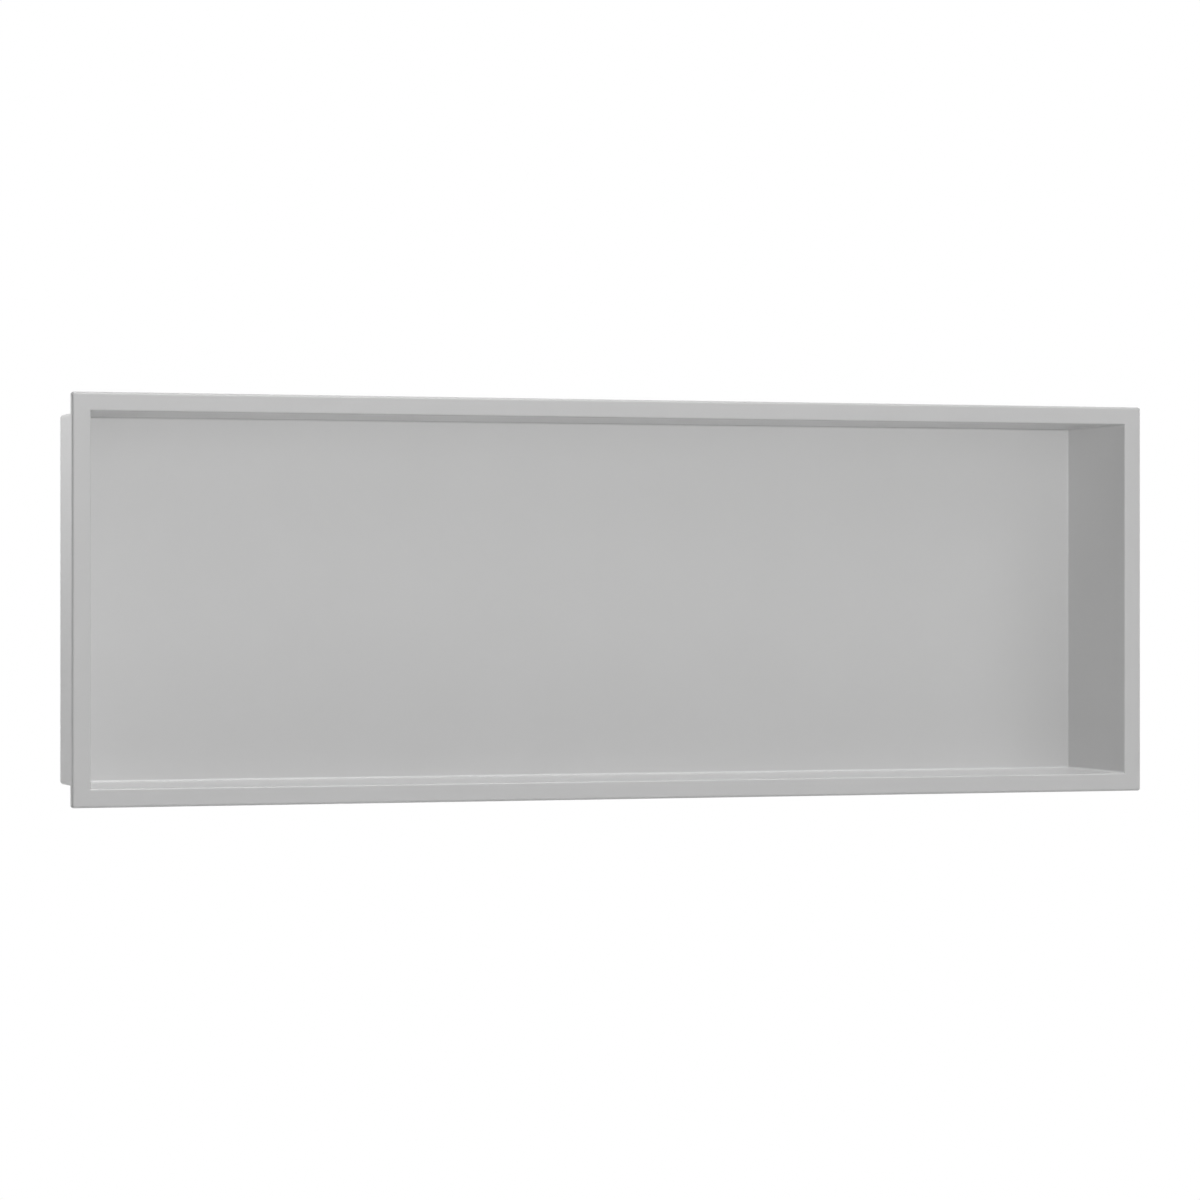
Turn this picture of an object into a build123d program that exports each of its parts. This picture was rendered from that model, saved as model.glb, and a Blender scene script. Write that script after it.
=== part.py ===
"""Shower niche insert: a shallow steel tray that is let into a wall, with a narrow frame round its mouth.

Back panel, four walls, frame and rim are one coated steel sheet of even thickness. The walls turn
outwards at the mouth into the flat frame, and the frame's outer edge turns back into a short rim.
The cut edge of that rim rests on the finished wall face. The fold at the mouth meets in sharp mitres,
and the walls' round corners begin a little behind it.

X runs along the width, Y into the wall and Z up. The origin is the centre of the niche in the plane
of the finished wall face.
"""
import os

from build123d import *

# Sizes in millimetres
niche_width = 900.0  # over the outside of the side walls
niche_height = 300.0  # over the outside of floor and ceiling
clear_depth = 112.5  # from the frame's front face to the back panel
frame_lap = 14.0  # how far the frame reaches past the walls' outside
rim_depth = 6.0  # from the frame's front face to the rim's cut edge
sheet = 1.2  # thickness of the coated steel
mouth_radius = 0.2  # inside radius of the fold between the walls and the frame
mouth_flat = 0.6  # from the end of that fold to where the walls' round corners begin
rim_radius = 0.9  # inside radius of the fold between the frame and its rim
tray_radius = 1.8  # inside radius where the walls and the back panel meet

# The frame's front face stands this far out from the wall face
front = -rim_depth


def block(outset, start, end):
    """A block from depth start to depth end, larger than the walls' outside by outset all round."""
    size = (niche_width + 2 * outset, end - start, niche_height + 2 * outset)
    return Pos(0, (start + end) / 2, 0) * Box(*size)


def edges_in_plane(solid, plane_y):
    """The edges in the plane at depth plane_y, to within a small part of the sheet's thickness."""
    reach = sheet / 20
    return solid.edges().filter_by_position(Axis.Y, plane_y - reach, plane_y + reach)


def edges_within(solid, plane_y, outset):
    """Those edges in the plane that lie less than outset past the walls' outside."""
    half_width = niche_width / 2 + outset
    half_height = niche_height / 2 + outset
    across = edges_in_plane(solid, plane_y).filter_by_position(Axis.X, -half_width, half_width)
    return across.filter_by_position(Axis.Z, -half_height, half_height)


def rounded(solid, plane_y, radius):
    """The same block with its four corners, and its edges in the plane at depth plane_y, rounded."""
    corners = solid.edges().filter_by(Axis.Y)
    return fillet(corners + edges_in_plane(solid, plane_y), radius)


def folded_frame():
    """The flat frame and its turned-back rim: a shallow pan that opens towards the wall."""
    outside = rounded(block(frame_lap, front, 0), front, rim_radius + sheet)
    hollow = rounded(block(frame_lap - sheet, front + sheet, 0), front + sheet, rim_radius)
    return outside - hollow


def tray_outside():
    """The outer form of the four walls and the back panel."""
    back = front + clear_depth + sheet
    return rounded(block(0, front + sheet / 2, back), back, tray_radius + sheet)


def tray_inside():
    """The clear space of the niche: a mouth with sharp corners, and round corners from there to the back."""
    back = front + clear_depth
    mouth_end = front + sheet + mouth_radius + mouth_flat
    mouth = block(-sheet, front, mouth_end)
    return mouth + rounded(block(-sheet, mouth_end, back), back, tray_radius)


def niche_insert():
    """The whole sheet, with its folds rounded on both sides of the steel."""
    body = folded_frame() + tray_outside()
    body = fillet(edges_within(body, front + sheet, sheet), mouth_radius)
    body -= tray_inside()
    return fillet(edges_within(body, front, 0), mouth_radius + sheet)


os.makedirs("parts", exist_ok=True)
export_step(niche_insert(), "parts/niche_insert.step")
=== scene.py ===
"""Shower niche insert: the folded and powder coated steel sheet, its studio and its camera.

The sheet is one piece. Its closed section runs from the inside of the back panel over the wall, the
fold at the mouth, the frame and the turned-back rim, and returns behind them to the outside of the
back panel. That section is carried once round the niche, whose corners are mitred at the mouth and
round elsewhere.
"""
import math
from typing import NamedTuple

import bmesh
import bpy
import numpy as np
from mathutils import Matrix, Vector


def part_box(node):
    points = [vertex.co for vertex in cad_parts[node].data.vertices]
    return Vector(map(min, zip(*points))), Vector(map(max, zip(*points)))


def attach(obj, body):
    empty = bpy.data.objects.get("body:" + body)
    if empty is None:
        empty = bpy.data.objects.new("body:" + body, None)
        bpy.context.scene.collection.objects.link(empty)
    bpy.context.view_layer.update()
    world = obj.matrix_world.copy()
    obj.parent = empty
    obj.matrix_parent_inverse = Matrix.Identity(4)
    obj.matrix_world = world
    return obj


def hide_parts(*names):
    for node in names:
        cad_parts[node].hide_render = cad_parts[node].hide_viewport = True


bl_info = {
    "name": "Shower Niche Insert",
    "version": (1, 0, 0),
    "blender": (4, 5, 0),
    "location": "3D View > Sidebar > Niche",
    "description": "Builds a folded steel shower niche with its coat, studio and camera",
    "category": "Add Mesh",
}

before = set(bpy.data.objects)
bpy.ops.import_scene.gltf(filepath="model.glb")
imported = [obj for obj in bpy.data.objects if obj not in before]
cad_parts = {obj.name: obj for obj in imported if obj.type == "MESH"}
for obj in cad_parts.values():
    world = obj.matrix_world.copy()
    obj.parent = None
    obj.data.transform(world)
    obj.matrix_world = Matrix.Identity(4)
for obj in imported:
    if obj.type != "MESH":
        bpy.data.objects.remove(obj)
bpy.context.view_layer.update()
NODE = "niche_insert"
BODY = "root"
LOW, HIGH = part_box(NODE)

MM = 0.001
LEAD = 0.15 * MM  # width of the narrow faces that lead into a fold
MERGE = 0.001 * MM  # points nearer to each other than this are one
FLOOR_REACH = 60.0  # radius of the studio floor
VIEW_REACH = 200.0  # how far the camera sees
SENSOR = 36.0  # width of the camera's sensor in millimetres
PHOTO_PIXELS = 1200  # width and height of the picture
WHITE = (1, 1, 1, 1)


class Lamp(NamedTuple):
    """Where a round lamp hangs, in degrees and metres from the niche's centre, and its diameter.

    Azimuth 0 is straight in front of the niche and 90 is to its right.
    """

    azimuth: float
    elevation: float
    distance: float
    size: float
    casts_shadow: bool


# Each lamp's power stands under the same name in NicheStudio
LAMPS = {
    "front_key": Lamp(azimuth=0, elevation=15, distance=4.0, size=1.6, casts_shadow=True),
    "right_key": Lamp(azimuth=30, elevation=40, distance=4.0, size=2.2, casts_shadow=True),
    "rear_key": Lamp(azimuth=-148, elevation=19, distance=3.0, size=2.2, casts_shadow=True),
    "rear_fill": Lamp(azimuth=125, elevation=19, distance=3.0, size=2.2, casts_shadow=True),
    "high_fill": Lamp(azimuth=0, elevation=30, distance=4.0, size=2.2, casts_shadow=False),
    "top_fill": Lamp(azimuth=0, elevation=80, distance=3.0, size=2.2, casts_shadow=False),
    "left_fill": Lamp(azimuth=-135, elevation=0, distance=3.0, size=2.2, casts_shadow=False),
    "low_fill": Lamp(azimuth=180, elevation=-45, distance=1.45, size=0.9, casts_shadow=False),
}


def linear(hex_colour):
    """Linear RGB of an sRGB hex colour: the sRGB curve is undone for each channel."""
    parts = [int(hex_colour[i:i + 2], 16) / 255 for i in (1, 3, 5)]
    return [c / 12.92 if c <= 0.04045 else ((c + 0.055) / 1.055) ** 2.4 for c in parts]


class NicheSheet(bpy.types.PropertyGroup):
    """Sizes of the folded sheet."""

    width: bpy.props.FloatProperty(
        name="Frame Width", description="Overall width of the frame", default=HIGH.x - LOW.x,
        unit="LENGTH")
    height: bpy.props.FloatProperty(
        name="Frame Height", description="Overall height of the frame", default=HIGH.z - LOW.z,
        unit="LENGTH")
    front: bpy.props.FloatProperty(
        name="Front", description="Depth of the frame's front face; the wall face is at zero",
        default=LOW.y, unit="LENGTH")
    back: bpy.props.FloatProperty(
        name="Back", description="Depth of the back panel's outside", default=HIGH.y, unit="LENGTH")
    lap: bpy.props.FloatProperty(
        name="Frame Lap", description="How far the frame reaches past the walls' outside",
        default=14.0 * MM, unit="LENGTH")
    sheet: bpy.props.FloatProperty(
        name="Sheet", description="Thickness of the coated steel", default=1.2 * MM, unit="LENGTH")
    mouth_radius: bpy.props.FloatProperty(
        name="Mouth Radius", description="Inside radius of the fold between the walls and the frame",
        default=0.2 * MM, unit="LENGTH")
    mouth_flat: bpy.props.FloatProperty(
        name="Mouth Flat", description="From the end of that fold to where the walls' round corners begin",
        default=0.6 * MM, unit="LENGTH")
    rim_radius: bpy.props.FloatProperty(
        name="Rim Radius", description="Inside radius of the fold between the frame and its rim",
        default=0.9 * MM, unit="LENGTH")
    tray_radius: bpy.props.FloatProperty(
        name="Tray Radius", description="Inside radius where the walls and the back panel meet",
        default=1.8 * MM, unit="LENGTH")
    coat_edge: bpy.props.FloatProperty(
        name="Coat Edge", description="Radius that the coat gives to the rim's cut edge", default=0.2 * MM,
        unit="LENGTH")
    steps: bpy.props.IntProperty(
        name="Fold Steps", description="Faces across each fold and round corner", default=10, min=2,
        max=32)
    edge_steps: bpy.props.IntProperty(
        name="Edge Steps", description="Faces across the coat's radius on the cut edge", default=3, min=1,
        max=16)


class NicheCoat(bpy.types.PropertyGroup):
    """Colour and feel of the powder coat."""

    colour: bpy.props.FloatVectorProperty(
        name="Coat Colour", description="Light grey of the powder coat", default=linear("#BFBFBF"),
        subtype="COLOR", min=0, max=1)
    mottle: bpy.props.FloatProperty(
        name="Mottle", description="How much the colour clouds over a hand's width", default=0.006,
        subtype="FACTOR", min=0, max=1)
    roughness: bpy.props.FloatProperty(
        name="Roughness", description="Roughness of the satin coat", default=0.34, subtype="FACTOR",
        min=0, max=1)
    grain: bpy.props.FloatProperty(
        name="Grain", description="Size of the coat's flow texture", default=2.4 * MM, unit="LENGTH")
    grain_height: bpy.props.FloatProperty(
        name="Grain Height", description="Height of the coat's flow texture", default=0.0028 * MM,
        unit="LENGTH")


class NicheStudio(bpy.types.PropertyGroup):
    """Floor, light and camera of the studio."""

    floor_drop: bpy.props.FloatProperty(
        name="Floor Drop", description="Height of the niche's centre over the floor", default=1.1,
        unit="LENGTH")
    floor_colour: bpy.props.FloatVectorProperty(
        name="Floor Colour", description="Pale grey of the studio floor", default=linear("#F2F2F2"),
        subtype="COLOR", min=0, max=1)
    front_key: bpy.props.FloatProperty(
        name="Front Key", description="Power of the lamp straight in front", default=15.0, unit="POWER")
    right_key: bpy.props.FloatProperty(
        name="Right Key", description="Power of the lamp high up on the right", default=27.0, unit="POWER")
    rear_key: bpy.props.FloatProperty(
        name="Rear Key", description="Power of the lamp behind on the left, for the tray's outside",
        default=16.0, unit="POWER")
    rear_fill: bpy.props.FloatProperty(
        name="Rear Fill", description="Power of the lamp behind on the right, for the tray's outside",
        default=16.0, unit="POWER")
    high_fill: bpy.props.FloatProperty(
        name="High Fill", description="Power of the shadowless lamp above the camera", default=71.5,
        unit="POWER")
    top_fill: bpy.props.FloatProperty(
        name="Top Fill", description="Power of the shadowless lamp overhead", default=43.0, unit="POWER")
    left_fill: bpy.props.FloatProperty(
        name="Left Fill", description="Power of the shadowless lamp behind on the left", default=8.5,
        unit="POWER")
    low_fill: bpy.props.FloatProperty(
        name="Low Fill", description="Power of the shadowless lamp behind, near the floor", default=1.6,
        unit="POWER")
    lens: bpy.props.FloatProperty(
        name="Lens", description="Focal length on a 36 mm sensor, in millimetres", default=129.9)
    camera_place: bpy.props.FloatVectorProperty(
        name="Camera Place", description="Place of the camera", default=(-1.1762, -3.3604, 0.0093),
        subtype="TRANSLATION")
    camera_turn: bpy.props.FloatProperty(
        name="Camera Turn", description="Turn of the camera to the right of the niche's depth axis",
        default=math.radians(18.94), subtype="ANGLE")
    horizon: bpy.props.FloatProperty(
        name="Horizon", description="How far the horizon lies below the picture's top, in pixels",
        default=588.1)


def fold(outset, depth, radius, start, end, steps):
    """Points of one fold as outset and depth: centre + radius * (cos a, sin a) for a from start to end.

    A point at the distance LEAD before and after the arc, on its tangents, keeps the flats flat.
    """
    a = np.radians(np.linspace(start, end, steps + 1))
    points = np.stack([outset + radius * np.cos(a), depth + radius * np.sin(a)], axis=1)
    along = math.copysign(LEAD, end - start)
    tangents = along * np.stack([-np.sin(a), np.cos(a)], axis=1)
    return np.vstack([points[:1] - tangents[:1], points, points[-1:] + tangents[-1:]])


def sheet_section(size):
    """Closed section of the sheet as rows of outset past the walls' outside, depth and corner radius.

    Every row turns the niche's corners about a fixed line, so its corner radius is its outset less the
    outset of that line, or zero where that is negative. One line holds for the tray, another for mouth,
    frame and rim. The mouth lies within the second line, so its fold meets in mitres.
    """
    sheet, mouth_in, rim_in, tray_in = size.sheet, size.mouth_radius, size.rim_radius, size.tray_radius
    edge, steps, edge_steps = size.coat_edge, size.steps, size.edge_steps
    mouth_bend = size.front + sheet + mouth_in
    rim_bend = size.front + sheet + rim_in
    rear = size.back - sheet - tray_in
    tray_line = -sheet - tray_in
    frame_line = size.lap - sheet - rim_in
    tray_inside = [
        fold(tray_line, rear, tray_in, 90, 0, steps),
        [(-sheet, mouth_bend + size.mouth_flat)],
    ]
    mouth_frame_and_rim = [
        fold(mouth_in, mouth_bend, mouth_in + sheet, 180, 270, steps),
        fold(frame_line, rim_bend, rim_in + sheet, 270, 360, steps),
        fold(size.lap - edge, -edge, edge, 0, 90, edge_steps),
        fold(size.lap - sheet + edge, -edge, edge, 90, 180, edge_steps),
        fold(frame_line, rim_bend, rim_in, 360, 270, steps),
    ]
    tray_outside = [
        fold(mouth_in, mouth_bend, mouth_in, 270, 180, steps),
        fold(tray_line, rear, tray_in + sheet, 0, 90, steps),
    ]
    groups = (tray_line, tray_inside), (frame_line, mouth_frame_and_rim), (tray_line, tray_outside)
    rows = []
    for line, group in groups:
        points = np.vstack(group)
        rows.append(np.column_stack([points, np.maximum(points[:, 0] - line, 0)]))
    return np.vstack(rows)


def carried_round(section, half_width, half_height, steps):
    """Grid of points of the section carried round the niche, with a row for each point of the section.

    At the turn a in the corner with signs sx and sz, a row of outset u and corner radius r lies at
    x = sx * (half_width + u - r) + r * cos a and z = sz * (half_height + u - r) + r * sin a.
    Before and after each corner a column at the distance LEAD, on the tangent, keeps the flats flat.
    """
    quarter = np.concatenate([[0], np.linspace(0, 90, steps + 1), [90]])
    turn = np.radians(np.concatenate([quarter + q for q in (0, 90, 180, 270)]))
    along = np.tile(np.concatenate([[-LEAD], np.zeros(steps + 1), [LEAD]]), 4)
    corner = np.repeat(np.arange(4), len(quarter))
    sx = np.array([1, -1, -1, 1])[corner]
    sz = np.array([1, 1, -1, -1])[corner]
    u, depth, r = (section[:, [i]] for i in range(3))
    x = sx * (half_width + u - r) + r * np.cos(turn) - along * np.sin(turn)
    z = sz * (half_height + u - r) + r * np.sin(turn) + along * np.cos(turn)
    return np.stack([x, np.broadcast_to(depth, x.shape), z], axis=2)


def closed_mesh(name, grid):
    """Mesh of a grid that closes on itself along its second axis, with a face over each open end.

    Each quad joins a point to the next one along the section and to their neighbours round the niche.
    """
    rows, columns, _ = grid.shape
    index = np.arange(rows * columns).reshape(rows, columns)
    beside = np.roll(index, -1, axis=1)
    quads = np.stack([index[:-1], index[1:], beside[1:], beside[:-1]], axis=2).reshape(-1, 4)
    ends = [index[0].tolist(), index[-1, ::-1].tolist()]
    mesh = bpy.data.meshes.new(name)
    mesh.from_pydata(grid.reshape(-1, 3), [], quads.tolist() + ends)
    work = bmesh.new()
    work.from_mesh(mesh)
    bmesh.ops.remove_doubles(work, verts=work.verts, dist=MERGE)
    bmesh.ops.recalc_face_normals(work, faces=work.faces)
    work.to_mesh(mesh)
    work.free()
    mesh.shade_smooth()
    mesh.validate()
    return mesh


def add_object(name, data):
    """New object at the origin of the scene's collection."""
    made = bpy.data.objects.new(name, data)
    bpy.context.scene.collection.objects.link(made)
    return made


def add_node(tree, kind, inputs=None, **settings):
    """One node with its settings; an input is a constant, or an output socket that gets linked to it."""
    node = tree.nodes.new(kind)
    for key, value in settings.items():
        setattr(node, key, value)
    for key, value in (inputs or {}).items():
        if isinstance(value, bpy.types.NodeSocket):
            tree.links.new(value, node.inputs[key])
        else:
            node.inputs[key].default_value = value
    return node


def new_material(name):
    """Empty node material and its tree."""
    material = bpy.data.materials.new(name)
    material.use_nodes = True
    material.node_tree.nodes.clear()
    return material, material.node_tree


def powder_coat(look):
    """Satin polyester powder coat on steel, stoved in one coat.

    The eye gets an even light grey with faint clouding, a soft sheen that turns to a clear
    reflection at a low angle, and the slight flow texture of melted powder.
    """
    material, tree = new_material("powder_coated_steel_light_grey_satin")
    place = add_node(tree, "ShaderNodeTexCoord").outputs["Object"]
    cloud_size = 60 * MM
    noise_range = {"From Min": 0.3, "From Max": 0.7}  # most of the noise lies between these values
    sheen_spread = 0.03
    resin_ior = 1.5
    clouds = add_node(tree, "ShaderNodeTexNoise",
                      {"Vector": place, "Scale": 1 / cloud_size, "Detail": 2.0, "Roughness": 0.6})
    shade = add_node(tree, "ShaderNodeMapRange",
                     {"Value": clouds.outputs["Fac"], **noise_range,
                      "To Min": 1 - look.mottle, "To Max": 1 + look.mottle})
    tint = add_node(tree, "ShaderNodeVectorMath",
                    {0: tuple(look.colour), 1: shade.outputs["Result"]}, operation="MULTIPLY")
    peel = add_node(tree, "ShaderNodeTexNoise",
                    {"Vector": place, "Scale": 1 / look.grain, "Detail": 3.0, "Roughness": 0.55})
    bump = add_node(tree, "ShaderNodeBump",
                    {"Height": peel.outputs["Fac"], "Strength": 1.0, "Distance": look.grain_height})
    sheen = add_node(tree, "ShaderNodeMapRange",
                     {"Value": peel.outputs["Fac"], **noise_range,
                      "To Min": look.roughness - sheen_spread, "To Max": look.roughness + sheen_spread})
    coat = add_node(tree, "ShaderNodeBsdfPrincipled",
                    {"Base Color": tint.outputs["Vector"], "Roughness": sheen.outputs["Result"],
                     "IOR": resin_ior, "Normal": bump.outputs["Normal"]})
    add_node(tree, "ShaderNodeOutputMaterial", {"Surface": coat.outputs["BSDF"]})
    return material


def seen_directly(tree):
    """One for camera, glossy and transmission rays, which see the plain white background."""
    path = add_node(tree, "ShaderNodeLightPath")
    seen = path.outputs["Is Camera Ray"]
    for ray in ("Is Glossy Ray", "Is Transmission Ray"):
        either = add_node(tree, "ShaderNodeMath", {0: seen, 1: path.outputs[ray]}, operation="MAXIMUM")
        seen = either.outputs["Value"]
    return seen


def floor_paint(studio):
    """Matt pale floor paint, rolled on.

    The eye gets an even pale grey that holds the niche's shadow and fades into the white background
    away from the niche. From below the floor can be seen through.
    """
    material, tree = new_material("matt_floor_paint_pale_grey")
    fade_start, fade_end = 0.8, 2.6
    matt = 0.9
    place = add_node(tree, "ShaderNodeTexCoord").outputs["Object"]
    reach = add_node(tree, "ShaderNodeVectorMath", {0: place}, operation="LENGTH")
    fade = add_node(tree, "ShaderNodeMapRange",
                    {"Value": reach.outputs["Value"], "From Min": fade_start, "From Max": fade_end},
                    interpolation_type="SMOOTHSTEP")
    white_part = add_node(tree, "ShaderNodeMath",
                          {0: fade.outputs["Result"], 1: seen_directly(tree)}, operation="MULTIPLY")
    paint = add_node(tree, "ShaderNodeBsdfPrincipled",
                     {"Base Color": (*studio.floor_colour, 1), "Roughness": matt})
    white = add_node(tree, "ShaderNodeEmission", {"Color": WHITE, "Strength": 1.0})
    blend = add_node(tree, "ShaderNodeMixShader",
                     {0: white_part.outputs["Value"], 1: paint.outputs["BSDF"],
                      2: white.outputs["Emission"]})
    under = add_node(tree, "ShaderNodeBsdfTransparent")
    side = add_node(tree, "ShaderNodeNewGeometry").outputs["Backfacing"]
    one_sided = add_node(tree, "ShaderNodeMixShader",
                         {0: side, 1: blend.outputs["Shader"], 2: under.outputs["BSDF"]})
    add_node(tree, "ShaderNodeOutputMaterial", {"Surface": one_sided.outputs["Shader"]})
    return material


def floor_mesh(drop):
    """Flat disc at the height -drop: x = r cos a and y = r sin a, with r the reach of the floor."""
    sides = 72
    turn = np.linspace(0, 2 * np.pi, sides, endpoint=False)
    x, y = FLOOR_REACH * np.cos(turn), FLOOR_REACH * np.sin(turn)
    ring = np.stack([x, y, np.full(sides, -drop)], axis=1)
    mesh = bpy.data.meshes.new("studio_floor")
    mesh.from_pydata(ring, [], [list(range(sides))])
    return mesh


def hang_lamp(name, lamp, power):
    """Round soft lamp that faces the niche.

    A lamp without shadows is sampled from its own face alone, because light that is sampled from the
    coat is still stopped by the walls in between.
    """
    a, e = math.radians(lamp.azimuth), math.radians(lamp.elevation)
    away = Vector((math.sin(a) * math.cos(e), -math.cos(a) * math.cos(e), math.sin(e)))
    data = bpy.data.lights.new(name, "AREA")
    data.shape = "DISK"
    data.size = lamp.size
    data.energy = power
    data.use_shadow = lamp.casts_shadow
    data.cycles.use_multiple_importance_sampling = lamp.casts_shadow
    hung = add_object(name, data)
    hung.location = away * lamp.distance
    hung.rotation_euler = (-away).to_track_quat("-Z", "Y").to_euler()


def white_world():
    """World that is white to the eye and in reflections; the lamps alone light the niche."""
    world = bpy.data.worlds.new("studio_world")
    world.use_nodes = True
    tree = world.node_tree
    tree.nodes.clear()
    white = add_node(tree, "ShaderNodeBackground", {"Color": WHITE, "Strength": seen_directly(tree)})
    add_node(tree, "ShaderNodeOutputWorld", {"Surface": white.outputs["Background"]})
    return world


def set_camera(studio):
    """Level camera to the left of the niche, with the picture moved up or down to place the horizon."""
    data = bpy.data.cameras.new("photo_camera")
    data.sensor_width = SENSOR
    data.lens = studio.lens
    data.shift_y = studio.horizon / PHOTO_PIXELS - 0.5
    data.clip_end = VIEW_REACH
    camera = add_object("photo_camera", data)
    camera.location = studio.camera_place
    camera.rotation_euler = (math.pi / 2, 0, -studio.camera_turn)
    bpy.context.scene.camera = camera


class NICHE_OT_fold_sheet(bpy.types.Operator):
    """Fold the coated sheet into the niche"""

    bl_idname = "niche.fold_sheet"
    bl_label = "Fold Niche Sheet"

    def execute(self, context):
        size = context.scene.niche_sheet
        half_width = size.width / 2 - size.lap
        half_height = size.height / 2 - size.lap
        grid = carried_round(sheet_section(size), half_width, half_height, size.steps)
        niche = add_object("folded_niche", closed_mesh("folded_niche", grid))
        niche.data.materials.append(powder_coat(context.scene.niche_coat))
        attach(niche, BODY)
        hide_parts(NODE)
        return {"FINISHED"}


class NICHE_OT_set_stage(bpy.types.Operator):
    """Set the floor, the light and the camera"""

    bl_idname = "niche.set_stage"
    bl_label = "Set Studio"

    def execute(self, context):
        studio = context.scene.niche_studio
        floor = add_object("studio_floor", floor_mesh(studio.floor_drop))
        floor.data.materials.append(floor_paint(studio))
        context.scene.world = white_world()
        for name, lamp in LAMPS.items():
            hang_lamp(name, lamp, getattr(studio, name))
        set_camera(studio)
        context.scene.view_settings.view_transform = "Standard"
        return {"FINISHED"}


class NICHE_PT_sidebar(bpy.types.Panel):
    """Sizes, coat and studio of the niche"""

    bl_idname = "NICHE_PT_sidebar"
    bl_label = "Shower Niche"
    bl_space_type = "VIEW_3D"
    bl_region_type = "UI"
    bl_category = "Niche"

    def draw(self, context):
        for key, kind in GROUPS.items():
            column = self.layout.column(align=True)
            for name in kind.__annotations__:
                column.prop(getattr(context.scene, key), name)
        self.layout.operator(NICHE_OT_fold_sheet.bl_idname)
        self.layout.operator(NICHE_OT_set_stage.bl_idname)


GROUPS = {"niche_sheet": NicheSheet, "niche_coat": NicheCoat, "niche_studio": NicheStudio}
CLASSES = (*GROUPS.values(), NICHE_OT_fold_sheet, NICHE_OT_set_stage, NICHE_PT_sidebar)


def register():
    """Add the classes, and give each scene its groups of values."""
    for kind in CLASSES:
        bpy.utils.register_class(kind)
    for key, kind in GROUPS.items():
        setattr(bpy.types.Scene, key, bpy.props.PointerProperty(type=kind))


def unregister():
    """Take the groups of values and the classes away again."""
    for key in GROUPS:
        delattr(bpy.types.Scene, key)
    for kind in reversed(CLASSES):
        bpy.utils.unregister_class(kind)


def main():
    """Build the niche and its studio."""
    register()
    bpy.ops.niche.fold_sheet()
    bpy.ops.niche.set_stage()


if __name__ == "__main__":
    main()
